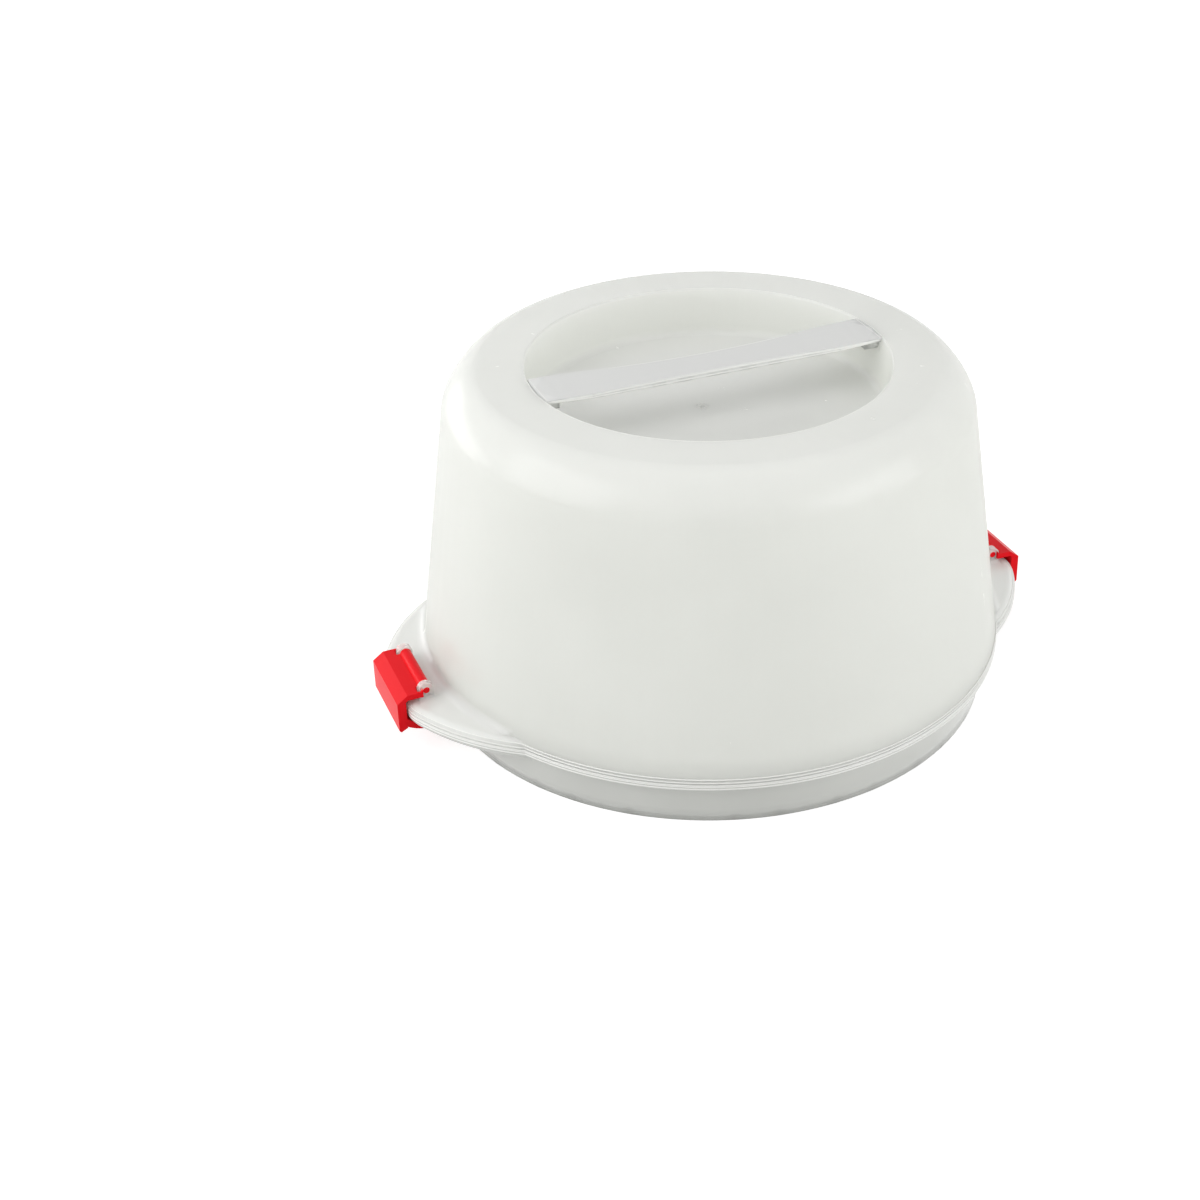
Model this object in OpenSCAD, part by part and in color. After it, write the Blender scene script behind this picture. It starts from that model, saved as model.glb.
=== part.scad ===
// Round cake carrier: a shallow tray with two ears, a domed lid that lifts off,
// a grip bar across a sunk well in the lid, and two hooked latches that swing on
// the lid's ears and catch under the tray's ears. Millimetres, +Z up, origin at
// the centre of the table face, ears along X.

/* [Overall] */
// Height from the table to the top of the shoulder
total_h = 190; // [160:1:220]
// Outer radius of the round rim where tray and lid meet
rim_r = 163.8; // [150:0.1:180]
// Height of the plane where tray and lid meet
seam_z = 27.4; // [24:0.1:36]

/* [Lid dome] */
// Wall thickness of the lid
lid_t = 1.9; // [1.5:0.1:2.6]
// Inward lean of the dome's wall, in degrees
wall_draft = 7.85; // [3:0.05:10]
// Height of the lid's rim band above the seam
lid_band_h = 5.2; // [4.4:0.1:7]
// How far the rim band stands out past the dome's wall
rim_step = 0.55; // [0.4:0.05:2]
// Height of the proud flange at the foot of the rim band
lid_flange_h = 3.1; // [2:0.1:3.6]
// Height of the rounded shoulder
shoulder_h = 22.75; // [15:0.25:35]
// Width of the rounded shoulder, seen from above
shoulder_w = 20.5; // [12:0.5:26]

/* [Grip well] */
// Radius of the well's mouth
well_r = 98.9; // [85:0.1:104]
// Depth of the well
well_depth = 27; // [22:0.5:40]
// Lean of the well's wall, in degrees
well_draft = 5; // [2:0.5:9]
// Radius of the well's rounded mouth
well_lip_r = 1.5; // [0.8:0.1:1.8]
// Radius where the well's wall meets its floor
well_floor_fillet = 4; // [2.5:0.5:6]

/* [Grip bar] */
// How far the bar's top dips in the middle
bar_sag = 1.7; // [0.5:0.1:3]
// Width of the bar at its ends
bar_end_w = 30; // [26:0.5:36]
// Width of the bar at its waist
bar_waist_w = 23; // [18:0.5:25]
// Length of the bar over which the waist is drawn in
bar_waist_len = 144; // [110:2:150]
// Thickness of the bar at its ends
bar_end_t = 1.8; // [1.5:0.1:3]
// Thickness of the bar's belly in the middle
bar_mid_t = 3.4; // [2.6:0.1:6]
// Thickness of the bar's skin and edges
bar_skin = 1.6; // [1.2:0.1:1.8]
// Length of the thick block at each end of the bar
bar_block_len = 9.5; // [7:0.5:14]
// Width of the thick block
bar_block_w = 22; // [16:0.5:24]
// Depth of the block below the top of the bar
bar_block_h = 7; // [6:0.1:9]
// Depth of the two long ribs under the bar's waist
bar_rib_depth = 6.5; // [5.5:0.1:9]
// Number of cross ribs under the bar
bar_cross_ribs = 7; // [3:2:11]
// Thickness of the tongue that snaps through the well's wall
tongue_t = 2.8; // [2:0.1:3.2]
// How far the tongue reaches past the well's wall
tongue_reach = 2.6; // [2:0.1:4]
// Drop of the barb behind the wall
barb_drop = 1.1; // [0.6:0.1:1.6]

/* [Tray] */
// How far the tray's foot lies inside the round rim
foot_in = 7.9; // [4:0.1:14]
// Wall thickness of the tray
tray_t = 2.2; // [1.8:0.1:3]
// Width of the foot ring
foot_w = 7.5; // [5:0.5:15]
// Height of the tray's floor above the table
foot_h = 1.5; // [1:0.1:4]
// How far the raised plate for the cake lies inside the foot
plate_in = 19.9; // [12:0.1:40]
// Rise of that plate
plate_rise = 1.5; // [1:0.1:3]
// Drop of the round rim band below the seam
tray_band_h = 3.2; // [2.8:0.1:6]
// Thickness of the rim band's turned-down edge
band_t = 2; // [1.4:0.1:2.6]
// Height of the upstand that the lid drops over
upstand_h = 12.4; // [6:0.1:16]
// Thickness of the upstand at its top
upstand_t = 1.8; // [1.4:0.1:2.6]

/* [Ears] */
// How far each ear reaches past the round rim
ear_reach = 22.7; // [18:0.1:28]
// Length of the ear's straight end
ear_end_len = 42; // [36:1:50]
// Radius of the ear's outer corners
ear_corner_r = 24; // [18:0.5:28]
// Angle that the ear's corner turns before the long side begins
ear_corner_a = 23.5; // [20:0.5:27]
// Radius of the ear's long curved side
ear_side_r = 122; // [110:1:150]
// Drop of the tray's ear edge below the seam
ear_drop = 5.9; // [5:0.1:9]
// Rounding of the ear's edge
ear_round = 4; // [2.5:0.1:4.1]
// Width of the solid bead along the tray's ear
ear_bead_w = 5.4; // [4.5:0.1:8]
// Thickness of the ears' flat webs
ear_t = 2.2; // [1.6:0.1:2.6]
// Radius where the dome's wall meets the ear
ear_root_r = 6; // [2:0.5:8]
// Thickness of the ribs under the tray's ears
ear_rib_t = 1.6; // [1.2:0.1:2.4]

/* [Latches] */
// Length of a latch along the ear's end
latch_len = 48; // [44:1:50]
// How far the pivot lies inside the ear's end
pin_inset = 11; // [9.5:0.1:12]
// Height of the pivot above the seam
pin_rise = 10.4; // [9.8:0.1:12]
// Radius of the latch's stub pins
pin_r = 1.8; // [1.4:0.1:2.2]
// Radius of the latch's barrel
barrel_r = 3.2; // [2.8:0.1:3.6]
// Outer radius of the lid's hinge eyes
eye_outer_r = 4.2; // [3.8:0.1:4.6]
// Thickness of one hinge eye
eye_t = 4; // [3:0.1:5]
// Distance between the outer faces of the two eyes
eye_span = 44; // [38:0.5:45]
// Thickness of the latch's top plate
latch_plate_t = 3; // [2.4:0.1:3.4]
// How far the latch's outer face lies past the ear's end
latch_out = 6; // [5:0.1:8]
// Gap between the ear's end and the latch's wall
latch_gap = 1.2; // [0.6:0.1:2]
// Size of the bevel along the latch's top edge
latch_bevel = 4.4; // [2:0.1:5]
// Thickness of the hook at the latch's foot
hook_t = 3.9; // [2.5:0.1:5]
// Angle below level at which the hook's tip ends, in degrees
hook_tip_a = 94; // [80:1:98]

/* [Hidden] */
$fn = 120;

// Clearances
lid_slip = 0.5;      // lid's wall to the tray's upstand
pin_play = 0.06;     // stub pin in its eye, on the radius
side_play = 0.3;     // latch to the sides of an eye
notch_play = 0.9;    // latch to the round and the foot of an eye
hook_play = 0.5;     // hook to the furthest point of the tray's ear edge
bar_play = 0.25;     // bar to the well's wall and its slots
ear_gap = 0.35;      // lid's and tray's ears to the seam, as only the rim seats
foot_cut = 1;        // chamfer at the foot of the latch's outer wall
bevel_slope = 1.35;  // run of the latch's bevel for a rise of one
barrel_cut = 0.1;    // how far the barrel is cleared past an eye's side play
run_in = 0.8;        // how far the long side of an ear runs into the rim
seam_v = 0.3;        // chamfers that make the line between lid and tray
seat_sink = 0.1;     // how far the ear's root dips into wall and ear
overlap = 0.5;       // how far joined features sink into each other
web_step = 0.1;      // how far a flat web stays inside its edge's faces
web_lap = 2;         // how far an ear's edge laps its flat web

// Steps in a computed curve
curve_n = 12;
fillet_n = 5;

// Heights
band_top = seam_z + lid_band_h;
shoulder_z = total_h - shoulder_h;
well_z = total_h - well_depth;
pin_z = seam_z + pin_rise;
bar_top = total_h;

// Tray
foot_r = rim_r - foot_in;
plate_r = foot_r - plate_in;

// Plan of an ear: straight end, corner, and a long curved side that runs into the rim
ear_x = rim_r + ear_reach;
corner = [ear_x - ear_corner_r, ear_end_len / 2];
side_c = corner - (ear_side_r - ear_corner_r) * [cos(ear_corner_a), sin(ear_corner_a)];
side_far = norm(side_c);
end_r = rim_r - run_in;
end_a = atan2(side_c.y, side_c.x)
        + acos((side_far * side_far + end_r * end_r - ear_side_r * ear_side_r) / (2 * side_far * end_r));
side_a = atan2(end_r * sin(end_a) - side_c.y, end_r * cos(end_a) - side_c.x);

// Latch, measured from its pivot
pin_x = ear_x - pin_inset;
bead_far = norm([pin_inset - ear_round, pin_rise + ear_drop - ear_round]) + ear_round;
hook_r = bead_far + hook_play;
latch_in = pin_inset + latch_gap;
latch_w = pin_inset + latch_out;
latch_h = hook_r + hook_t - 1;
plate_high = latch_plate_t / 5;
plate_low = plate_high - latch_plate_t;

// Bar
tongue_top = bar_top - 2 * bar_skin;
tongue_low = tongue_top - tongue_t;
block_low = bar_top - bar_block_h;

// ---- shared functions ----------------------------------------------------

// Outer radius of the dome's straight wall at a height
function wall_r(z) = rim_r - rim_step - (z - band_top) * tan(wall_draft);

// Radius of the well's wall at a height
function well_wall_r(z) = well_r - (total_h - z) * tan(well_draft);

// Points on a cubic curve from a to d, with handles b and c
function curve(a, b, c, d, n) = [
    for (i = [0:n]) let (t = i / n, u = 1 - t)
        u * u * u * a + 3 * u * u * t * b + 3 * u * t * t * c + t * t * t * d
];

// Points on an arc, from the given first step on
function arc(c, r, a0, a1, n, first = 0) = [
    for (i = [first:n]) let (a = a0 + (a1 - a0) * i / n) c + r * [cos(a), sin(a)]
];

// The shoulder's curve, set in by a thickness
function shoulder(inset) =
    let (
        foot = [wall_r(shoulder_z) - inset / cos(wall_draft), shoulder_z],
        top = [wall_r(shoulder_z) - shoulder_w, total_h - inset],
        foot_pull = 0.38 * (top.y - foot.y),
        top_pull = 0.4 * (foot.x - top.x)
    )
    curve(foot, foot + foot_pull * [-sin(wall_draft), cos(wall_draft)],
          top + [top_pull, 0], top, curve_n);

// ---- ear plan and edge ---------------------------------------------------

// Flat outline of the +X ear, set in from the real edge
module ear_plan(inset) {
    side = concat(
        arc(corner, ear_corner_r - inset, 0, ear_corner_a, fillet_n),
        arc(side_c, ear_side_r - inset, ear_corner_a, side_a, curve_n, 1)
    );
    polygon(concat(
        side,
        [[rim_r / 2, 0]],
        [for (i = [len(side) - 1:-1:0]) [side[i].x, -side[i].y]]
    ));
}

// Runs a profile along the +X ear's edge: its x is the distance in from the edge
module along_ear() {
    translate([ear_x, ear_end_len / 2, 0]) rotate([90, 0, 0]) linear_extrude(ear_end_len)
        mirror([1, 0]) children();
    for (m = [0, 1]) mirror([0, m, 0]) {
        translate([corner.x, corner.y, 0]) rotate_extrude(angle = ear_corner_a)
            translate([ear_corner_r, 0]) mirror([1, 0]) children();
        translate([side_c.x, side_c.y, 0]) rotate([0, 0, ear_corner_a])
            rotate_extrude(angle = side_a - ear_corner_a)
                translate([ear_side_r, 0]) mirror([1, 0]) children();
    }
}

// Copies a +X feature to both ears
module both_ears() {
    for (m = [0, 1]) mirror([m, 0, 0]) children();
}

// ---- tray ----------------------------------------------------------------

// Half section of the round tray
module tray_section() {
    wall_lean = (rim_r - band_t - foot_r) / seam_z * 0.7;
    web_z = seam_z - ear_t;
    band_low = seam_z - tray_band_h;
    lip_r = wall_r(seam_z) - lid_t / cos(wall_draft) - lid_slip;
    lip_top_r = lip_r - upstand_h * tan(wall_draft);
    turn_r = 2 * tray_t;
    turn = [foot_r - tray_t - turn_r + wall_lean * turn_r, foot_h + tray_t + turn_r];
    polygon(concat(
        [
            [0, foot_h + plate_rise],
            [plate_r, foot_h + plate_rise],
            [plate_r + plate_rise, foot_h],
            [foot_r - foot_w, foot_h],
            [foot_r - foot_w, 0],
            [foot_r, 0],
            [foot_r + wall_lean * (web_z - overlap), web_z - overlap],
            [rim_r - band_t, web_z + overlap / 2],
            [rim_r - band_t, band_low]
        ],
        arc([rim_r - 2 * seam_v, band_low + 2 * seam_v], 2 * seam_v, 270, 360, fillet_n),
        [
            [rim_r, seam_z - seam_v],
            [rim_r - seam_v, seam_z],
            [lip_r, seam_z],
            [lip_top_r, seam_z + upstand_h]
        ],
        arc([lip_top_r - upstand_t / 2, seam_z + upstand_h], upstand_t / 2, 0, 180, fillet_n),
        [[lip_top_r - upstand_t, seam_z]],
        arc(turn, turn_r, 0, -90, fillet_n),
        [
            [plate_r + plate_rise, foot_h + tray_t],
            [plate_r, foot_h + plate_rise + tray_t],
            [0, foot_h + plate_rise + tray_t]
        ]
    ));
}

// Section of the bead along the tray's ear, rounded underneath
module tray_ear_edge() {
    polygon(concat(
        [[0, seam_z - ear_gap]],
        arc([ear_round, seam_z - ear_drop + ear_round], ear_round, 180, 270, fillet_n + 3),
        [
            [ear_bead_w, seam_z - ear_drop],
            [ear_bead_w, seam_z - ear_gap]
        ]
    ));
}

module base_tray() {
    rib_low = seam_z - ear_drop + ear_rib_t;
    rib_from = foot_r + 2 * tray_t;
    rib_len = ear_x - ear_bead_w + overlap - rib_from;
    color([0.86, 0.87, 0.85]) union() {
        rotate_extrude($fn = 180) tray_section();
        both_ears() {
            along_ear() tray_ear_edge();
            translate([0, 0, seam_z - ear_t]) linear_extrude(ear_t - ear_gap - web_step) difference() {
                ear_plan((ear_round + ear_bead_w) / 2);
                circle(r = rim_r - band_t / 2, $fn = 180);
            }
            // ribs between the tray's wall and the bead
            for (y = [-1, 1]) translate([rib_from, y * ear_end_len / 4 - ear_rib_t / 2, rib_low])
                cube([rib_len, ear_rib_t, seam_z - ear_t + overlap - rib_low]);
        }
    }
}

// ---- lid -----------------------------------------------------------------

// Half section of the dome, its well and its rim band
module dome_section() {
    slope = lid_t / cos(wall_draft);
    flange_top = seam_z + lid_flange_h;
    lip_in = well_lip_r + lid_t;
    floor_r = well_wall_r(well_z);
    fillet = well_floor_fillet;
    polygon(concat(
        [
            [rim_r - seam_v, seam_z],
            [rim_r, seam_z + seam_v],
            [rim_r, flange_top],
            [rim_r - rim_step / 2, flange_top + rim_step / 4],
            [rim_r - rim_step / 2, band_top - rim_step],
            [wall_r(band_top + rim_step / 2), band_top + rim_step / 2]
        ],
        shoulder(0),
        arc([well_r + well_lip_r, total_h - well_lip_r], well_lip_r, 90, 180, fillet_n),
        arc([floor_r - fillet, well_z + fillet], fillet, 0, -90, fillet_n),
        [
            [0, well_z],
            [0, well_z - lid_t]
        ],
        arc([floor_r - fillet, well_z + fillet], fillet + lid_t, -90, 0, fillet_n),
        [[well_wall_r(total_h - lip_in) + lid_t, total_h - lip_in]],
        [[well_r + lip_in, total_h - lid_t]],
        [for (i = [curve_n:-1:0]) shoulder(lid_t)[i]],
        [[wall_r(seam_z) - slope, seam_z]]
    ));
}

// Section of the turned-down edge along the lid's ear
module lid_ear_edge() {
    centre = [ear_round, band_top - ear_round];
    polygon(concat(
        [[0, seam_z + ear_gap]],
        arc(centre, ear_round, 180, 90, fillet_n + 3),
        [
            [ear_round + web_lap, band_top],
            [ear_round + web_lap, band_top - ear_t]
        ],
        arc(centre, ear_round - ear_t, 90, 180, fillet_n),
        [[ear_t, seam_z + ear_gap]]
    ));
}

// Soft root between the dome's wall and the ear's top
module ear_root() {
    r = wall_r(band_top) - seat_sink;
    lean = [cos(wall_draft), sin(wall_draft)];
    centre = [r + ear_root_r * (1 / lean.x - tan(wall_draft)), band_top + ear_root_r - seat_sink];
    intersection() {
        rotate_extrude($fn = 96) polygon(concat(
            [
                [r - overlap, band_top - overlap],
                [centre.x, band_top - overlap]
            ],
            arc(centre, ear_root_r, 270, 180 + wall_draft, fillet_n),
            [centre - (ear_root_r + overlap) * lean]
        ));
        translate([0, 0, seam_z]) linear_extrude(total_h) ear_plan(ear_round + overlap);
    }
}

// One upright hinge eye on the +X ear, still without its hole
module hinge_eye(y) {
    translate([pin_x, y + eye_t / 2, pin_z]) rotate([90, 0, 0]) linear_extrude(eye_t) {
        circle(r = eye_outer_r, $fn = 64);
        translate([-eye_outer_r, band_top - overlap - pin_z])
            square([2 * eye_outer_r, pin_z - band_top + overlap]);
    }
}

// Slots through the well's wall for the bar's tongues
module well_slots() {
    both_ears() translate([well_r - bar_block_len, -bar_block_w / 2 - bar_play, tongue_low - bar_play])
        cube([bar_block_len + 2 * lid_t, bar_block_w + 2 * bar_play, tongue_t + 2 * bar_play]);
}

// Everything inside the middle of the dome's wall, to trim the ears with
module dome_core() {
    mid = lid_t / cos(wall_draft) / 2;
    low = seam_z - 1;
    high = band_top + 2 * ear_root_r;
    rotate_extrude($fn = 180) polygon([
        [0, low],
        [wall_r(low) - mid, low],
        [wall_r(high) - mid, high],
        [0, high]
    ]);
}

module lid_dome() {
    color([0.87, 0.9, 0.89, 0.55]) difference() {
        union() {
            rotate_extrude($fn = 120) dome_section();
            difference() {
                both_ears() {
                    along_ear() lid_ear_edge();
                    translate([0, 0, band_top - ear_t + web_step]) linear_extrude(ear_t - 2 * web_step)
                        ear_plan(ear_round + web_lap / 2);
                    ear_root();
                    for (y = [-1, 1]) hinge_eye(y * (eye_span - eye_t) / 2);
                }
                dome_core();
            }
        }
        both_ears() translate([pin_x, eye_span, pin_z]) rotate([90, 0, 0])
            cylinder(r = pin_r + pin_play, h = 2 * eye_span, $fn = 48);
        well_slots();
    }
}

// ---- grip bar ------------------------------------------------------------

// Waisted outline of the bar, set in from the real edge
module bar_plan(inset) {
    drawn_in = (bar_end_w - bar_waist_w) / 2;
    waist_r = (pow(bar_waist_len / 2, 2) + drawn_in * drawn_in) / (2 * drawn_in);
    half_a = asin(bar_waist_len / 2 / waist_r);
    centre = [0, -bar_waist_w / 2 - waist_r];
    end = [well_r, bar_end_w / 2 - inset];
    edge = arc(centre, waist_r + inset, 90 + half_a, 90 - half_a, 2 * curve_n);
    polygon(concat(
        [[-end.x, end.y]],
        [for (p = edge) [p.x, -p.y - 2 * inset]],
        [end],
        [[end.x, -end.y]],
        [for (i = [2 * curve_n:-1:0]) [edge[i].x, edge[i].y + 2 * inset]],
        [[-end.x, -end.y]]
    ));
}

// Side shape of the bar between two depths under its dipped top: end and middle
module bar_side(end_t, mid_t) {
    half = well_r - bar_block_len;
    drop = bar_sag + mid_t - end_t;
    top_r = (half * half + bar_sag * bar_sag) / (2 * bar_sag);
    low_r = (half * half + drop * drop) / (2 * drop);
    top_a = asin(half / top_r);
    low_a = asin(half / low_r);
    translate([0, bar_end_w, 0]) rotate([90, 0, 0]) linear_extrude(2 * bar_end_w) polygon(concat(
        [[-well_r, bar_top]],
        arc([0, bar_top - bar_sag + top_r], top_r, 270 - top_a, 270 + top_a, 2 * curve_n),
        [
            [well_r, bar_top],
            [well_r, bar_top - end_t]
        ],
        arc([0, bar_top - bar_sag - mid_t + low_r], low_r, 270 + low_a, 270 - low_a, 2 * curve_n),
        [[-well_r, bar_top - end_t]]
    ));
}

// Room inside the well that the bar may fill
module well_room() {
    rotate_extrude($fn = 180) polygon([
        [0, well_z],
        [well_wall_r(well_z) - bar_play, well_z],
        [well_wall_r(bar_top) - bar_play, bar_top],
        [0, bar_top]
    ]);
}

module grip_bar() {
    inner_w = bar_waist_w / 2 - bar_skin;
    rib_t = bar_skin;
    block_x = well_r - bar_block_len;
    tongue_from = block_x + bar_block_len / 3;
    tongue_to = well_wall_r(tongue_low) + lid_t + tongue_reach;
    barb_from = well_wall_r(tongue_top) + lid_t + 2 * bar_play;
    cross_pitch = bar_waist_len / (bar_cross_ribs + 1);
    color([0.9, 0.92, 0.91, 0.7]) union() {
        intersection() {
            well_room();
            union() {
                // skin with turned-down edges and cross ribs
                intersection() {
                    bar_side(bar_end_t, bar_mid_t);
                    difference() {
                        linear_extrude(bar_top) bar_plan(0);
                        linear_extrude(bar_top - bar_sag - bar_skin) difference() {
                            bar_plan(bar_skin);
                            for (i = [1:bar_cross_ribs])
                                translate([-bar_waist_len / 2 + i * cross_pitch, 0])
                                    square([rib_t, bar_end_w], center = true);
                        }
                    }
                }
                // two long ribs that carry the load
                intersection() {
                    bar_side(bar_end_t + rib_t, bar_rib_depth - bar_sag);
                    for (m = [-1, 1]) translate([0, m * inner_w / 2, bar_top / 2])
                        cube([2 * well_r, rib_t, bar_top], center = true);
                }
                // thick end blocks
                both_ears() translate([block_x, -bar_block_w / 2, block_low])
                    cube([bar_block_len, bar_block_w, bar_block_h - bar_skin / 2]);
            }
        }
        both_ears() {
            // tongue through the wall, with its barb behind it
            translate([tongue_from, -bar_block_w / 2, tongue_low])
                cube([tongue_to - tongue_from, bar_block_w, tongue_t]);
            translate([barb_from, -bar_block_w / 2, tongue_low - barb_drop])
                cube([tongue_to - barb_from, bar_block_w, barb_drop + overlap]);
        }
    }
}

// ---- latches -------------------------------------------------------------

// Section of the latch across its pivot: barrel, plate, bevel, wall and hook
module latch_section() {
    circle(r = barrel_r, $fn = 64);
    polygon([
        [0, plate_high],
        [latch_w - bevel_slope * latch_bevel, plate_high],
        [latch_w, plate_high - latch_bevel],
        [latch_w, foot_cut - latch_h],
        [latch_w - foot_cut, -latch_h],
        [latch_in, 2 * foot_cut - latch_h],
        [latch_in, plate_low - latch_gap],
        [latch_in - latch_gap, plate_low],
        [0, plate_low]
    ]);
    // hook: a band round the pivot, so that it swings clear of the ear's bead
    intersection() {
        difference() {
            circle(r = hook_r + hook_t, $fn = 180);
            circle(r = hook_r, $fn = 180);
        }
        polygon([
            [0, 0],
            2 * latch_h * [cos(hook_tip_a), -sin(hook_tip_a)],
            [latch_in + foot_cut, -2 * latch_h],
            [latch_in + foot_cut, 0]
        ]);
    }
    translate((hook_r + hook_t / 2) * [cos(hook_tip_a), -sin(hook_tip_a)])
        circle(r = hook_t / 2 - seat_sink / 2, $fn = 48);
}

// Latch on the +X ear
module latch() {
    eye_in = eye_span / 2 - eye_t - side_play;
    eye_out = eye_span / 2 + side_play;
    color([0.93, 0.11, 0.14]) translate([pin_x, 0, pin_z]) rotate([90, 0, 0]) union() {
        difference() {
            translate([0, 0, -latch_len / 2]) linear_extrude(latch_len) latch_section();
            for (m = [0, 1]) mirror([0, 0, m]) {
                // round notch for the eye
                translate([0, 0, eye_in]) cylinder(r = eye_outer_r + notch_play, h = eye_out - eye_in, $fn = 64);
                // no barrel outside the eye
                translate([-eye_outer_r, -eye_outer_r, eye_out - barrel_cut])
                    cube([eye_outer_r + pin_r + overlap, 2 * eye_outer_r, latch_len]);
            }
        }
        cylinder(r = pin_r, h = eye_span, center = true, $fn = 48);
    }
}

module latch_right() {
    latch();
}

module latch_left() {
    mirror([1, 0, 0]) latch();
}

base_tray();
lid_dome();
grip_bar();
latch_left();
latch_right();
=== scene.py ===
# %% [markdown]
# # A round cake carrier: white tray, milky lid, two red latches
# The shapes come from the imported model, which is loaded as a fixed frame in
# metres. This lesson dresses it: smooth moulded skins, plastics made of nodes,
# thin ridges and beads grown along paths, soft studio light and the camera of
# the photograph.

import math

import bmesh
import bpy
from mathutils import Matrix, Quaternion, Vector


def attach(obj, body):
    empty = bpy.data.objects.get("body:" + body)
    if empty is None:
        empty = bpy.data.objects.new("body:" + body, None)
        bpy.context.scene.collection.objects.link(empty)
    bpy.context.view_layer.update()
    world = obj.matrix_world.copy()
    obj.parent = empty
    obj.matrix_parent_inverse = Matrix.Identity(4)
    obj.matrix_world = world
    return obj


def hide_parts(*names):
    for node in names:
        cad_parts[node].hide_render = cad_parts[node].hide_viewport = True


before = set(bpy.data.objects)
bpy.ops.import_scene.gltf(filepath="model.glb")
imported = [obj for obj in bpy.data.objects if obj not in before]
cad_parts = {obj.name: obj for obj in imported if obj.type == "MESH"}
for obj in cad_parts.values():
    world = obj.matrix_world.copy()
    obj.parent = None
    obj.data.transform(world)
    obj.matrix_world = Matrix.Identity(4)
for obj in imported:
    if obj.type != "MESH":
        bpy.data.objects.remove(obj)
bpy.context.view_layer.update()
scene = bpy.context.scene
MM = 0.001

# %% [markdown]
# ## A smooth skin for a moulded part
# The frame's meshes are loose triangles, so a row of small facets round a
# fillet catches the light one by one. Each shown part is a copy whose doubles
# are merged. Its normals are averaged over everything flatter than a sharp
# edge, and weighted by face size, so that flat walls stay flat and the narrow
# faces along an edge carry the whole turn, as a moulded edge does. The latches
# also get a small round on their edges. It could be cut into the solid, but a
# bevel keeps the solid plain and still catches the light.

# %% Merge, smooth and weight the normals of a copy
SAME_POINT = 2e-6
SLIVER = 1e-6
FLAT = math.radians(1)
BEVEL_FROM = math.radians(30)
BEVEL_STEPS = 3
SHARP = math.radians(50)
FACE_WEIGHT = 60


def moulded_copy(node, name, body, edge=0.0):
    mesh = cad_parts[node].data.copy()
    mesh.name = name
    bm = bmesh.new()
    bm.from_mesh(mesh)
    bmesh.ops.remove_doubles(bm, verts=bm.verts, dist=SAME_POINT)
    bmesh.ops.dissolve_degenerate(bm, edges=bm.edges, dist=SLIVER)
    bmesh.ops.recalc_face_normals(bm, faces=bm.faces)
    if edge:
        bmesh.ops.dissolve_limit(bm, angle_limit=FLAT, verts=bm.verts, edges=bm.edges)
    open_edges = sum(1 for e in bm.edges if len(e.link_faces) != 2)
    bm.to_mesh(mesh)
    bm.free()
    mesh.polygons.foreach_set("use_smooth", [True] * len(mesh.polygons))
    mesh.set_sharp_from_angle(angle=SHARP)
    obj = bpy.data.objects.new(name, mesh)
    scene.collection.objects.link(obj)
    if edge:
        rounded = obj.modifiers.new("rounded edges", "BEVEL")
        rounded.width = edge
        rounded.segments = BEVEL_STEPS
        rounded.limit_method = "ANGLE"
        rounded.angle_limit = BEVEL_FROM
        rounded.miter_outer = "MITER_ARC"
    weighted = obj.modifiers.new("weighted normals", "WEIGHTED_NORMAL")
    weighted.keep_sharp = True
    weighted.weight = FACE_WEIGHT
    obj.data.materials.clear()
    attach(obj, body)
    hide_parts(node)
    print(f"{name}: {len(mesh.polygons)} faces, {open_edges} open edges")
    return obj


LATCH_EDGE = 0.35 * MM
lid = moulded_copy("lid_dome", "lid_shell", "lid")
tray = moulded_copy("base_tray", "tray_shell", "tray")
bar = moulded_copy("grip_bar", "bar_moulding", "lid")
latch_l = moulded_copy("latch_left", "latch_left_moulding", "latch_l", edge=LATCH_EDGE)
latch_r = moulded_copy("latch_right", "latch_right_moulding", "latch_r", edge=LATCH_EDGE)

# %% [markdown]
# ## Small helpers for node materials
# A material is a list of nodes and wires. These helpers keep the lists short:
# one starts an empty material, one adds a node with its settings, one wires
# sources to its inputs, and the rest do sums, ranges, noise and a blend of two
# colours.


# %% Node helpers
def new_material(name):
    mat = bpy.data.materials.new(name)
    mat.use_nodes = True
    mat.node_tree.nodes.clear()
    return mat, mat.node_tree


def add(tree, kind, values=None, **settings):
    node = tree.nodes.new(kind)
    for key, value in settings.items():
        setattr(node, key, value)
    for key, value in (values or {}).items():
        node.inputs[key].default_value = value
    return node


def feed(tree, node, sources):
    for key, source in sources.items():
        tree.links.new(source, node.inputs[key])
    return node


def object_position(tree):
    return add(tree, "ShaderNodeTexCoord").outputs["Object"]


def xyz(tree, vector):
    return feed(tree, add(tree, "ShaderNodeSeparateXYZ"), {0: vector}).outputs


def math_node(tree, operation, a, b=None):
    node = add(tree, "ShaderNodeMath", operation=operation)
    for i, value in enumerate((a, b)):
        if value is None:
            continue
        if isinstance(value, (int, float)):
            node.inputs[i].default_value = value
        else:
            tree.links.new(value, node.inputs[i])
    return node.outputs[0]


def plus(tree, a, b):
    return math_node(tree, "ADD", a, b)


def times(tree, a, b):
    return math_node(tree, "MULTIPLY", a, b)


def ramp(tree, source, low, high, low_at=0.3, high_at=0.7):
    span = {"From Min": low_at, "From Max": high_at, "To Min": low, "To Max": high}
    node = add(tree, "ShaderNodeMapRange", span)
    return feed(tree, node, {"Value": source}).outputs["Result"]


def noise(tree, vector, scale, detail=3.0, roughness=0.5):
    values = {"Scale": scale, "Detail": detail, "Roughness": roughness}
    node = add(tree, "ShaderNodeTexNoise", values)
    return feed(tree, node, {"Vector": vector}).outputs["Fac"]


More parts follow.
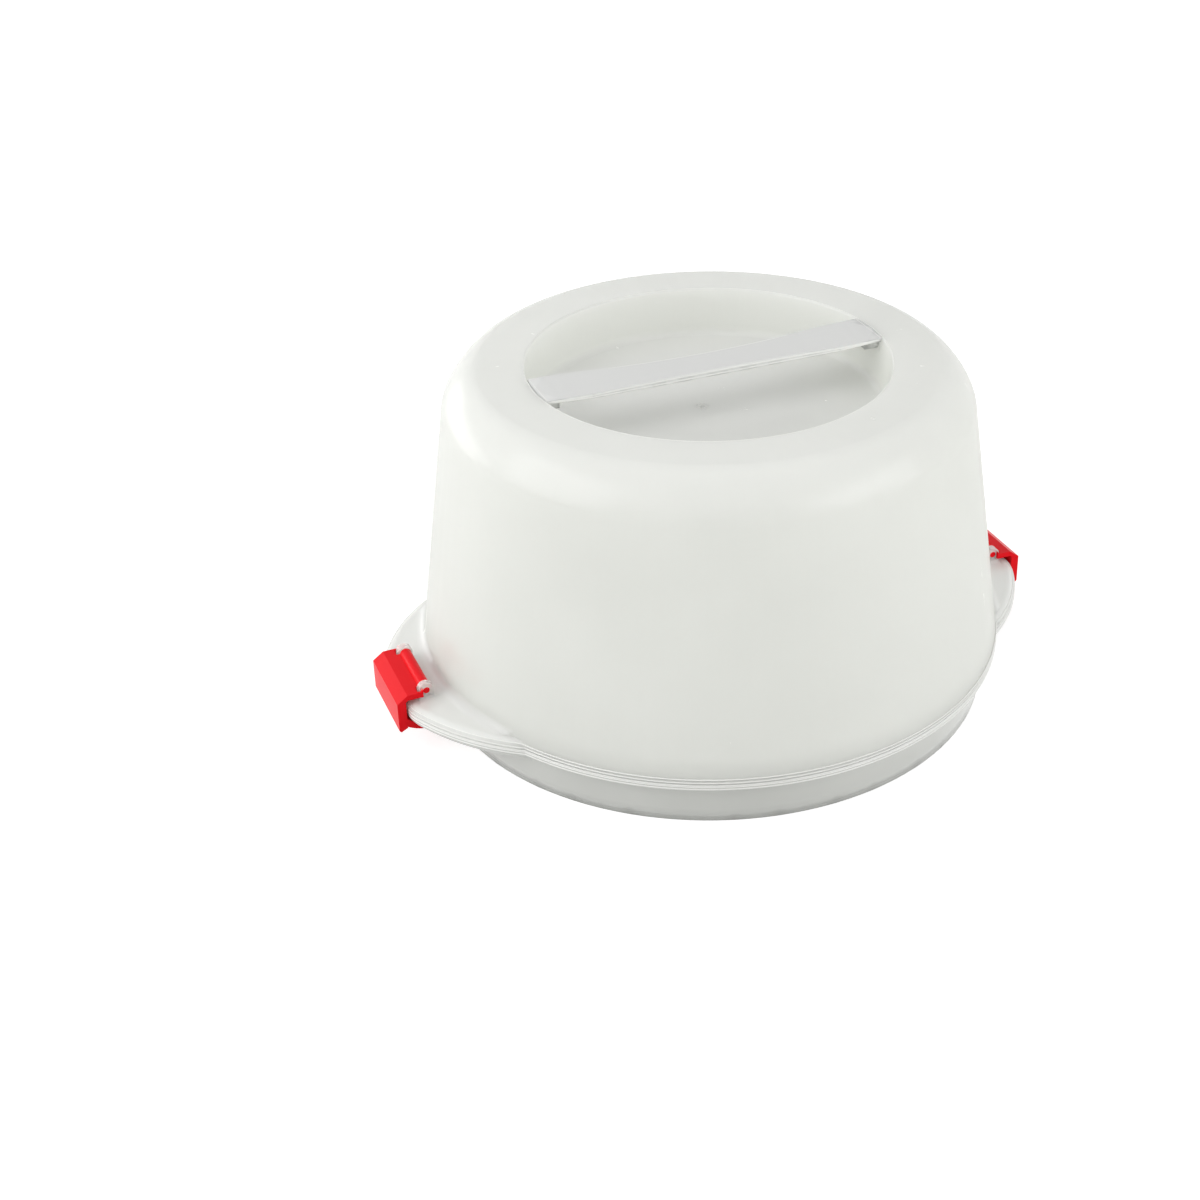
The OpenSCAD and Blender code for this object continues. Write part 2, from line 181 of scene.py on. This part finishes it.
def two_tone(tree, factor, dark, light):
    tones = {"A": (*dark, 1), "B": (*light, 1)}
    node = add(tree, "ShaderNodeMix", tones, data_type="RGBA")
    feed(tree, node, {"Factor": factor})
    return next(s for s in node.outputs if s.type == "RGBA")


def bumped(tree, height, strength, distance):
    node = add(tree, "ShaderNodeBump", {"Strength": strength, "Distance": distance})
    return feed(tree, node, {"Height": height}).outputs[0]


def cover(tree, shader):
    feed(tree, add(tree, "ShaderNodeOutputMaterial"), {"Surface": shader.outputs[0]})


# %% [markdown]
# ## Where the plastic flowed
# The lid is shot through one gate near the middle of its well. The melt runs
# out from there like spokes, down the wall to the rim, and leaves faint streaks
# along its way. Around the axis the streaks change fast, along the way out
# slowly, so the noise gets the angle at a large scale and the way at a small
# one. Scuffs are a fine noise of which only the peaks are kept, drawn out along
# one direction.

# %% Streaks and scuffs shared by the mouldings
ROUND_SCALE, WAY_SCALE = 42.0, 5.0
SCUFF_TURN = (0.3, 0.5, 0.9)
SCUFF_PEAKS = (0.62, 0.80)


def flow_vector(tree, position):
    x, y, z = xyz(tree, position)
    angle = math_node(tree, "ARCTAN2", y, x)
    radius = math_node(tree, "SQRT", plus(tree, times(tree, x, x), times(tree, y, y)))
    way = times(tree, math_node(tree, "SUBTRACT", radius, z), WAY_SCALE)
    across = times(tree, math_node(tree, "COSINE", angle), ROUND_SCALE)
    around_it = times(tree, math_node(tree, "SINE", angle), ROUND_SCALE)
    joined = add(tree, "ShaderNodeCombineXYZ")
    return feed(tree, joined, {0: across, 1: around_it, 2: way}).outputs[0]


def scuffs(tree, position, along, scale=60.0):
    stretched = add(tree, "ShaderNodeMapping", {"Scale": along, "Rotation": SCUFF_TURN})
    feed(tree, stretched, {"Vector": position})
    fine = noise(tree, stretched.outputs[0], scale, detail=6.0, roughness=0.65)
    return ramp(tree, fine, 0.0, 1.0, *SCUFF_PEAKS)


print("streaks:", ROUND_SCALE, "round the axis,", WAY_SCALE, "along the way out")

# %% [markdown]
# ## Clear eyes and painted light on level faces
# In the photograph the hinge eyes on the lid's ears are clearer than the dome.
# Level faces (the ring, the well's floor and the ears) get less of the glowing
# sheet than the upright wall, so that they show more of the light from above:
# this is painted light by the direction of the face, strongest on the ears. Two
# masks say where that is: one by place, one by the direction of the face and its
# distance from the axis. Separate materials would leave a hard line between them.

# %% Masks for the clear eyes and for painted light on level faces
EYE_OUT = (170.0 * MM, 171.5 * MM)
EYE_UP = (33.0 * MM, 34.5 * MM)
WELL_EDGE = (94 * MM, 100 * MM)
EAR_ROOT = (158 * MM, 166 * MM)
WELL_GLOW, RING_GLOW, EAR_PAINTED_LIGHT = 0.25, 0.60, 0.45
FACING_UP = (0.25, 0.9)


def at_the_eyes(tree, position):
    x, _, z = xyz(tree, position)
    outward = ramp(tree, math_node(tree, "ABSOLUTE", x), 0.0, 1.0, *EYE_OUT)
    upward = ramp(tree, z, 0.0, 1.0, *EYE_UP)
    return times(tree, outward, upward)


def ramp_to(tree, source, low, high_source, low_at, high_at):
    span = {"From Min": low_at, "From Max": high_at, "To Min": low}
    node = add(tree, "ShaderNodeMapRange", span)
    feed(tree, node, {"Value": source, "To Max": high_source})
    return node.outputs["Result"]


# Painted light: level faces, most of all the ears, get less of the glowing sheet by the way
# they face, so they show more of the light from above.
def painted_light_by_facing(tree, position):
    facing = xyz(tree, add(tree, "ShaderNodeTexCoord").outputs["Normal"])[2]
    flat = add(tree, "ShaderNodeVectorMath", {1: (1, 1, 0)}, operation="MULTIPLY")
    feed(tree, flat, {0: position})
    length = add(tree, "ShaderNodeVectorMath", operation="LENGTH")
    radius = feed(tree, length, {0: flat.outputs[0]}).outputs["Value"]
    in_well = ramp(tree, radius, WELL_GLOW, RING_GLOW, *WELL_EDGE)
    on_ears = ramp(tree, radius, 0.0, EAR_PAINTED_LIGHT, *EAR_ROOT)
    painted_level_share = math_node(tree, "SUBTRACT", in_well, on_ears)
    return ramp_to(tree, facing, 1.0, painted_level_share, *FACING_UP)


print("eyes from", EYE_OUT, "m out and", EYE_UP, "m up")

# %% [markdown]
# ## Milky plastic of the lid and the bar
# Natural polypropylene lets light through but scatters it on the way, so the
# dome glows and hides what is inside. Real scattering inside the wall would do
# it too, but slowly and with grain. Here a smooth skin that passes a little
# light is mixed with a thin sheet that spreads the light from behind. Clouds and
# flow streaks change its tint, gloss and height by a little.

# %% Milky plastics
PP_IOR = 1.49
CLOUD_SHARE, STREAK_SHARE = 0.88, 0.12
CLOUDY = (0.38, 0.62)
EYE_CLEAR, EYE_PASSED = 0.60, 0.35
GLOSS_SPREAD, SCUFF_DULLS = 0.03, 0.12
STREAK_RISE, SCUFF_SINK = 0.5, -0.2
MILKY_BUMP = {"strength": 0.08, "distance": 0.03 * MM}


def milky_plastic(name, clear, passed, tint_low, tint_high, rough):
    mat, tree = new_material(name)
    position = object_position(tree)
    cloud = noise(tree, position, 9.0)
    streak = noise(tree, flow_vector(tree, position), 1.0, detail=4.0, roughness=0.6)
    marks = scuffs(tree, position, (1.0, 1.0, 0.15))
    tone = plus(tree, times(tree, cloud, CLOUD_SHARE), times(tree, streak, STREAK_SHARE))
    colour = two_tone(tree, ramp(tree, tone, 0.0, 1.0, *CLOUDY), tint_low, tint_high)
    gloss = ramp(tree, streak, rough - GLOSS_SPREAD, rough + GLOSS_SPREAD)
    roughness = plus(tree, gloss, times(tree, marks, SCUFF_DULLS))
    height = plus(tree, times(tree, streak, STREAK_RISE), times(tree, marks, SCUFF_SINK))
    bump = bumped(tree, height, **MILKY_BUMP)
    thin = at_the_eyes(tree, position)
    skin = feed(tree, add(tree, "ShaderNodeBsdfPrincipled", {"IOR": PP_IOR}), {
        "Transmission Weight": ramp(tree, thin, clear, EYE_CLEAR, 0.0, 1.0),
        "Base Color": colour,
        "Roughness": roughness,
        "Normal": bump,
    })
    glow = add(tree, "ShaderNodeBsdfTranslucent")
    feed(tree, glow, {"Color": colour, "Normal": bump})
    by_place = ramp(tree, thin, passed, EYE_PASSED, 0.0, 1.0)
    # The facing mask paints light on level faces and ears.
    through = times(tree, by_place, painted_light_by_facing(tree, position))
    mixed = add(tree, "ShaderNodeMixShader")
    feed(tree, mixed, {"Fac": through, 1: skin.outputs[0], 2: glow.outputs[0]})
    cover(tree, mixed)
    print(f"{name}: {len(tree.nodes)} nodes, lets {clear} through, glows {passed}")
    return mat


lid_plastic = milky_plastic(
    "milky_pp_lid", clear=0.22, passed=0.50,
    tint_low=(0.953, 0.958, 0.938), tint_high=(0.973, 0.978, 0.959), rough=0.22,
)
# The bar's tint is darker than the lid's plastic: painted shade.
shaded_bar_plastic = milky_plastic(
    "milky_pp_bar_painted_shade", clear=0.04, passed=0.04,
    tint_low=(0.83, 0.837, 0.82), tint_high=(0.85, 0.857, 0.84), rough=0.20,
)

# %% [markdown]
# ## Solid plastic of tray, latches, painted highlights and the gate mark
# The tray is the same plastic with white pigment and the latches with red, so
# light stops at the skin. The tray stands on its foot and is pushed about on
# tables: the foot is duller. A whiter copy paints a highlight along the ridges,
# the bar's edges and the well's mouth, and gives the gate star its own white.

# %% Solid plastics
CLOUDED = (0.35, 0.65)
FOOT_HEIGHT = 4 * MM
SCUFF_DULLS_SOLID = 0.10
GLOSSIER, DULLER = 0.04, 0.05
GRAIN_RISE, SCUFF_SINK_SOLID = 0.25, -0.5
SOLID_BUMP = {"strength": 0.12, "distance": 0.2 * MM}


def solid_plastic(name, tint_low, tint_high, rough, level, foot_wear=0.0):
    mat, tree = new_material(name)
    position = object_position(tree)
    cloud = noise(tree, position, 14.0)
    grain = noise(tree, position, 900.0, detail=2.0)
    marks = scuffs(tree, position, (0.25, 0.25, 1.0), scale=90.0)
    colour = two_tone(tree, ramp(tree, cloud, 0.0, 1.0, *CLOUDED), tint_low, tint_high)
    near_foot = ramp(tree, xyz(tree, position)[2], foot_wear, 0.0, 0.0, FOOT_HEIGHT)
    wear = plus(tree, times(tree, marks, SCUFF_DULLS_SOLID), near_foot)
    roughness = plus(tree, ramp(tree, cloud, rough - GLOSSIER, rough + DULLER), wear)
    lowered = times(tree, marks, SCUFF_SINK_SOLID)
    height = plus(tree, times(tree, grain, GRAIN_RISE), lowered)
    skin = add(tree, "ShaderNodeBsdfPrincipled", {"IOR": PP_IOR, "Specular IOR Level": level})
    feed(tree, skin, {
        "Base Color": colour,
        "Roughness": roughness,
        "Normal": bumped(tree, height, **SOLID_BUMP),
    })
    cover(tree, skin)
    print(f"{name}: {len(tree.nodes)} nodes, roughness about {rough}")
    return mat


white_plastic = solid_plastic(
    "white_pp_tray", (0.625, 0.635, 0.60), (0.665, 0.675, 0.64),
    rough=0.20, level=0.65, foot_wear=0.15,
)
red_plastic = solid_plastic(
    "red_pp_latch", (0.78, 0.004, 0.010), (0.86, 0.007, 0.014), rough=0.32, level=0.09,
)
# A whiter copy of the plastic: painted highlights on ridges, bar edges and the well's mouth,
# and the gate star's own white.
highlight_and_gate_white = solid_plastic(
    "painted_highlight_and_gate_white", (0.90, 0.905, 0.875), (0.94, 0.945, 0.92), rough=0.22, level=0.6,
)

# %% [markdown]
# ## The path round rim and ears
# Where lid and tray meet, the moulds leave fine ridges that run round the rim
# and out along both ears. They could be cut into the band with booleans, but a
# thin bead laid along a path catches the same line of light, and its whiter
# plastic paints a highlight on it. The path follows the ears' own rule: a
# straight end, a corner arc, a long arc that runs into the rim, and the rim
# itself. A quarter is worked out and mirrored.

# %% The eared path of the rim
RIM_R = 163.8 * MM
EAR_X = RIM_R + 22.7 * MM
EAR_END = 42 * MM
EAR_ROUND = 4 * MM
CORNER_R, CORNER_TURN = 24 * MM, math.radians(23.5)
SIDE_R = 122 * MM
BAND_TOP = 32.6 * MM
END_STEPS, CORNER_STEPS, SIDE_STEPS, RIM_STEPS = 4, 8, 60, 48
PAST_THE_EAR = 0.01
AXIS = Vector((0, 0))


def arc_points(centre, radius, start, end, steps):
    angles = [start + (end - start) * i / steps for i in range(steps + 1)]
    return [centre + radius * Vector((math.cos(a), math.sin(a))) for a in angles]


def eared_path(inset):
    corner = Vector((EAR_X - CORNER_R, EAR_END / 2))
    turned = Vector((math.cos(CORNER_TURN), math.sin(CORNER_TURN)))
    side = corner - (SIDE_R - CORNER_R) * turned
    ends = [EAR_END / 2 * i / END_STEPS for i in range(END_STEPS)]
    quarter = [Vector((EAR_X - inset, y)) for y in ends]
    quarter += arc_points(corner, CORNER_R - inset, 0, CORNER_TURN, CORNER_STEPS)
    long_arc = arc_points(side, SIDE_R - inset, CORNER_TURN, math.pi / 2, SIDE_STEPS)
    quarter += [p for p in long_arc[1:] if p.length > RIM_R]
    rim_from = math.atan2(quarter[-1].y, quarter[-1].x) + PAST_THE_EAR
    quarter += arc_points(AXIS, RIM_R, rim_from, math.pi / 2, RIM_STEPS)
    half = quarter + [Vector((-p.x, p.y)) for p in reversed(quarter[:-1])]
    return half + [Vector((p.x, -p.y)) for p in reversed(half[1:-1])]


def ridge_loop(level):
    rise = max(0.0, level - (BAND_TOP - EAR_ROUND))
    inset = EAR_ROUND - math.sqrt(EAR_ROUND ** 2 - rise ** 2)
    return [(p.x, p.y, level) for p in eared_path(inset)]


def path_mesh(name, loops):
    bm = bmesh.new()
    for points in loops:
        loop = [bm.verts.new(p) for p in points]
        for a, b in zip(loop, loop[1:] + loop[:1]):
            bm.edges.new((a, b))
    mesh = bpy.data.meshes.new(name)
    bm.to_mesh(mesh)
    bm.free()
    return mesh


print("points round the rim and both ears:", len(eared_path(0.0)))

# %% [markdown]
# ## A grower: path in, plain mesh out
# Thin trim that repeats or follows a path is grown by Geometry Nodes. A tree
# with named inputs can be used again with other numbers, where a mesh built by
# hand would have to be built again. What it grows is kept as a plain mesh that
# rides on one body, so it moves with the part it belongs to.


# %% A tree with named inputs, and the object it grows
def connect(tree, *wires):
    for source, output, target, key in wires:
        tree.links.new(source.outputs[output], target.inputs[key])


def node_tree(name, inputs):
    tree = bpy.data.node_groups.new(name, "GeometryNodeTree")
    for way, sockets in (
        ("INPUT", {"Geometry": "Geometry", **inputs}),
        ("OUTPUT", {"Geometry": "Geometry"}),
    ):
        for label, kind in sockets.items():
            tree.interface.new_socket(label, in_out=way, socket_type="NodeSocket" + kind)
    return tree, tree.nodes.new("NodeGroupInput"), tree.nodes.new("NodeGroupOutput")


def finish_tree(tree, shape, output, given, result):
    solid = tree.nodes.new("GeometryNodeRealizeInstances")
    smooth = tree.nodes.new("GeometryNodeSetShadeSmooth")
    dressed = tree.nodes.new("GeometryNodeSetMaterial")
    connect(
        tree,
        (shape, output, solid, "Geometry"),
        (solid, "Geometry", smooth, "Geometry"),
        (smooth, "Geometry", dressed, "Geometry"),
        (given, "Material", dressed, "Material"),
        (dressed, "Geometry", result, "Geometry"),
    )


def grown(name, tree, start_mesh, values, body):
    maker = bpy.data.objects.new(name + "_maker", start_mesh)
    scene.collection.objects.link(maker)
    step = maker.modifiers.new("grow", "NODES")
    step.node_group = tree
    for item in tree.interface.items_tree:
        if item.in_out == "INPUT" and item.name in values:
            step[item.identifier] = values[item.name]
    settled = maker.evaluated_get(bpy.context.evaluated_depsgraph_get())
    mesh = bpy.data.meshes.new_from_object(settled)
    mesh.name = name
    mesh.materials.clear()
    mesh.materials.append(values["Material"])
    mesh.polygons.foreach_set("material_index", [0] * len(mesh.polygons))
    obj = bpy.data.objects.new(name, mesh)
    scene.collection.objects.link(obj)
    bpy.data.objects.remove(maker)
    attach(obj, body)
    print(f"{name}: {len(mesh.polygons)} faces")


# %% [markdown]
# ## Ridges on the rims of lid and tray
# Three fine ridges run round the lid's band and two round the tray's. Each is a
# round bead sunk halfway into the band: a circle swept along the eared path at
# its own height.

# %% Ridges on the rims of lid and tray
bead_tree, given, result = node_tree(
    "bead_along_path", {"Radius": "Float", "Sides": "Int", "Material": "Material"}
)
path = bead_tree.nodes.new("GeometryNodeMeshToCurve")
ring = bead_tree.nodes.new("GeometryNodeCurvePrimitiveCircle")
bead = bead_tree.nodes.new("GeometryNodeCurveToMesh")
connect(
    bead_tree,
    (given, "Geometry", path, "Mesh"),
    (given, "Radius", ring, "Radius"),
    (given, "Sides", ring, "Resolution"),
    (path, "Curve", bead, "Curve"),
    (ring, "Curve", bead, "Profile Curve"),
)
finish_tree(bead_tree, bead, "Mesh", given, result)

LID_LEVELS, TRAY_LEVELS = (27.78, 29.4, 31.3), (25.6, 27.02)
lid_ridges = path_mesh("lid_ridge_path", [ridge_loop(z * MM) for z in LID_LEVELS])
tray_ridges = path_mesh("tray_ridge_path", [ridge_loop(z * MM) for z in TRAY_LEVELS])
# The ridges take the whiter plastic: a painted highlight on each line.
ridge = {"Radius": 0.34 * MM, "Sides": 10, "Material": highlight_and_gate_white}
grown("lid_rim_ridges", bead_tree, lid_ridges, ridge, "lid")
grown("tray_rim_ridge", bead_tree, tray_ridges, ridge, "tray")

# %% [markdown]
# ## Light edges in the grip well, as painted highlights
# Milky plastic gathers light at its edges: the bar's rim and the well's mouth
# shine as thin lines. The same beads lie along them, in the whiter plastic, and
# paint those lines as highlights. The bar's rule is a plan drawn in by two circles
# and a top that dips in the middle. A second row, which dips more, covers the
# lower half of the bar's turned-down edge.

# %% Painted highlight beads on the bar and round the well's mouth
BAR_TOP, BAR_SAG = 190 * MM, 1.7 * MM
BAR_END_W, BAR_WAIST_W, BAR_WAIST_LEN = 30 * MM, 23 * MM, 144 * MM
WELL_R = 98.9 * MM
BAR_HALF = 97.2 * MM
BAR_STEPS = 64
BEAD_INSET = 0.7 * MM
UPPER_SINK, LOWER_SINK, LOWER_BELLY = 0.7 * MM, 1.0 * MM, 1.6 * MM
MOUTH_OUT, MOUTH_SINK, MOUTH_STEPS = 0.75 * MM, 0.12 * MM, 180


def bar_half_width(x):
    drawn_in = (BAR_END_W - BAR_WAIST_W) / 2
    waist_r = ((BAR_WAIST_LEN / 2) ** 2 + drawn_in ** 2) / (2 * drawn_in)
    if abs(x) > BAR_WAIST_LEN / 2:
        return BAR_END_W / 2
    return BAR_WAIST_W / 2 + waist_r - math.sqrt(waist_r ** 2 - x * x)


def bar_edge(sink, belly=0.0):
    xs = [BAR_HALF * (2 * i / BAR_STEPS - 1) for i in range(BAR_STEPS + 1)]
    dips = [(BAR_SAG + belly) * (1 - (x / WELL_R) ** 2) for x in xs]
    front = [
        (x, -bar_half_width(x) + BEAD_INSET, BAR_TOP - sink - dip)
        for x, dip in zip(xs, dips)
    ]
    back = [(x, -y, z) for x, y, z in reversed(front)]
    return front + back


mouth_arc = arc_points(AXIS, WELL_R + MOUTH_OUT, 0, 2 * math.pi, MOUTH_STEPS)[:-1]
mouth = path_mesh("well_mouth_path", [[(p.x, p.y, BAR_TOP - MOUTH_SINK) for p in mouth_arc]])
bar_rows = [bar_edge(UPPER_SINK), bar_edge(LOWER_SINK, belly=LOWER_BELLY)]
bar_edges = path_mesh("bar_edge_path", bar_rows)
# The beads take the whiter plastic: painted highlights along the bar's edges and the well's
# mouth.
bar_bead = {"Radius": 0.85 * MM, "Sides": 10, "Material": highlight_and_gate_white}
mouth_bead = {"Radius": 0.24 * MM, "Sides": 8, "Material": highlight_and_gate_white}
grown("bar_edge_highlight_beads", bead_tree, bar_edges, bar_bead, "lid")
grown("well_mouth_highlight_bead", bead_tree, mouth, mouth_bead, "lid")

# %% [markdown]
# ## The gate mark
# The melt entered the lid in its well, and the plastic round that point is
# stressed white in a small star. It could be painted, but in low relief it
# shows from every side: slim rays instanced round a ring of points.

# %% Star in the well's floor
star_tree, given, result = node_tree("gate_star", {
    "Rays": "Int",
    "Hub": "Float",
    "Length": "Float",
    "Thickness": "Float",
    "Relief": "Vector",
    "Place": "Vector",
    "Material": "Material",
})
RAY_SIDES = 8
hub = star_tree.nodes.new("GeometryNodeMeshCircle")
ray_shape = add(star_tree, "GeometryNodeMeshCone", {"Vertices": RAY_SIDES})
outward = add(star_tree, "FunctionNodeAlignRotationToVector", axis="Z")
where = star_tree.nodes.new("GeometryNodeInputPosition")
rays = star_tree.nodes.new("GeometryNodeInstanceOnPoints")
moved = star_tree.nodes.new("GeometryNodeTransform")
connect(
    star_tree,
    (given, "Rays", hub, "Vertices"),
    (given, "Hub", hub, "Radius"),
    (given, "Length", ray_shape, "Depth"),
    (given, "Thickness", ray_shape, "Radius Bottom"),
    (where, "Position", outward, "Vector"),
    (hub, "Mesh", rays, "Points"),
    (ray_shape, "Mesh", rays, "Instance"),
    (outward, "Rotation", rays, "Rotation"),
    (rays, "Instances", moved, "Geometry"),
    (given, "Place", moved, "Translation"),
    (given, "Relief", moved, "Scale"),
)
finish_tree(star_tree, moved, "Geometry", given, result)

WELL_FLOOR = 163.0 * MM
star = {
    "Rays": 9,
    "Hub": 0.8 * MM,
    "Length": 3.6 * MM,
    "Thickness": 0.8 * MM,
    "Relief": (1, 1, 0.12),
    "Place": (-4.6 * MM, -1.3 * MM, WELL_FLOOR),
    "Material": highlight_and_gate_white,
}
star_start = bpy.data.meshes.new("gate_start")
grown("gate_star", star_tree, star_start, star, "lid")

# %% [markdown]
# ## Finishes on the mouldings
# Lid and bar are natural plastic, the tray is white and the latches are red, as
# in the photograph.

# %% Hand out the finishes
for obj, mat, slot in (
    (lid, lid_plastic, "clear_pp"),
    (bar, shaded_bar_plastic, "clear_pp"),
    (tray, white_plastic, "white_pp"),
    (latch_l, red_plastic, "red_pp"),
    (latch_r, red_plastic, "red_pp"),
):
    obj.data.materials.append(mat)
    print(f"{obj.name}: {mat.name} in slot {slot}")

# %% [markdown]
# ## Floor
# A catalogue picture stands on pure white. More lamps would whiten the floor but
# wash out the carrier. So the floor is shaded paper, and white is added to it
# only for rays that come straight from the camera, off a gloss or through the
# plastic. The light that the paper throws back on the carrier stays as it is.

# %% Floor
FLOOR_HALF = 6.0
FLOOR_WHITE = 0.72
PAPER_LOW, PAPER_HIGH = (0.58, 0.58, 0.58), (0.61, 0.61, 0.61)
PURE_WHITE = (1, 1, 1, 1)


def looked_at(tree):
    ray = add(tree, "ShaderNodeLightPath").outputs
    indirect = math_node(tree, "MAXIMUM", ray["Is Glossy Ray"], ray["Is Transmission Ray"])
    return math_node(tree, "MAXIMUM", ray["Is Camera Ray"], indirect)


floor_mesh = bpy.data.meshes.new("floor")
bm = bmesh.new()
bmesh.ops.create_grid(bm, x_segments=2, y_segments=2, size=FLOOR_HALF)
bm.to_mesh(floor_mesh)
bm.free()
floor = bpy.data.objects.new("floor", floor_mesh)
scene.collection.objects.link(floor)
mat, tree = new_material("white_floor")
paper_noise = noise(tree, object_position(tree), 3.0)
paper = add(tree, "ShaderNodeBsdfDiffuse")
feed(tree, paper, {"Color": two_tone(tree, paper_noise, PAPER_LOW, PAPER_HIGH)})
white = add(tree, "ShaderNodeEmission", {"Color": PURE_WHITE})
feed(tree, white, {"Strength": times(tree, looked_at(tree), FLOOR_WHITE)})
both = add(tree, "ShaderNodeAddShader")
feed(tree, both, {0: paper.outputs[0], 1: white.outputs[0]})
cover(tree, both)
floor_mesh.materials.append(mat)
print("floor:", 2 * FLOOR_HALF, "m wide")

# %% [markdown]
# ## The white room
# The room is white to the camera and in reflections, but lights the carrier with
# about half of that, so that its shades stay soft and don't bleach.

# %% World
WORLD_LIGHT = 0.55
world = bpy.data.worlds.new("studio")
scene.world = world
world.use_nodes = True
tree = world.node_tree
tree.nodes.clear()
sky = add(tree, "ShaderNodeBackground", {"Color": PURE_WHITE})
feed(tree, sky, {"Strength": ramp(tree, looked_at(tree), WORLD_LIGHT, 1.0, 0.0, 1.0)})
feed(tree, add(tree, "ShaderNodeOutputWorld"), {"Surface": sky.outputs[0]})
print("room light:", WORLD_LIGHT)

# %% [markdown]
# ## Lamps
# Broad lamps at both sides draw the two soft bands on the shoulder, one behind
# lifts the far edge, and a weak one above fills the well. Small lamps would
# leave hard spots on gloss.


# %% Lamps
def softbox(name, place, target, width, height, watts):
    light = bpy.data.lights.new(name, "AREA")
    light.shape = "RECTANGLE"
    light.size = width
    light.size_y = height
    light.energy = watts
    obj = bpy.data.objects.new(name, light)
    scene.collection.objects.link(obj)
    place, target = Vector(place), Vector(target)
    obj.location = place
    obj.rotation_euler = (target - place).to_track_quat("-Z", "Y").to_euler()
    print(f"{name}: {width} x {height} m, {watts} W")


def around(azimuth, distance, height):
    angle = math.radians(azimuth)
    return (distance * math.cos(angle), distance * math.sin(angle), height)


SHOULDER, WAIST = (0, 0, 0.15), (0, 0, 0.1)
softbox("softbox_top", (-0.1, 0.2, 1.6), SHOULDER, 1.2, 0.9, 0.3)
softbox("softbox_right", around(-50, 1.5, 0.46), SHOULDER, 1.4, 0.85, 9.2)
softbox("softbox_left", around(-180, 1.4, 0.75), SHOULDER, 1.3, 1.2, 11.5)
softbox("softbox_back", around(125, 1.6, 0.22), WAIST, 1.2, 0.44, 4.5)

# %% [markdown]
# ## The camera
# A camera fitted to rim, foot, well and bar of the photograph: it stands about
# 1.1 m away, 29 degrees above the table. The carrier sits off the middle of the
# frame, which the lens shift gives without turning the camera.

# %% Camera
eye = Vector((-0.3892, -0.8803, 0.6228))
aim = Vector((0.0, 0.0, 0.095))
ROLL = math.radians(-0.28)
camera_data = bpy.data.cameras.new("camera")
camera_data.sensor_width = 36.0
camera_data.lens = 58.68
camera_data.shift_x = -0.0911
camera_data.shift_y = -0.0724
camera = bpy.data.objects.new("camera", camera_data)
scene.collection.objects.link(camera)
camera.location = eye
look = (aim - eye).to_track_quat("-Z", "Y")
camera.rotation_euler = (look @ Quaternion((0, 0, 1), ROLL)).to_euler()
scene.camera = camera
scene.view_settings.view_transform = "Standard"
print("camera:", round((eye - aim).length, 3), "m from the carrier")
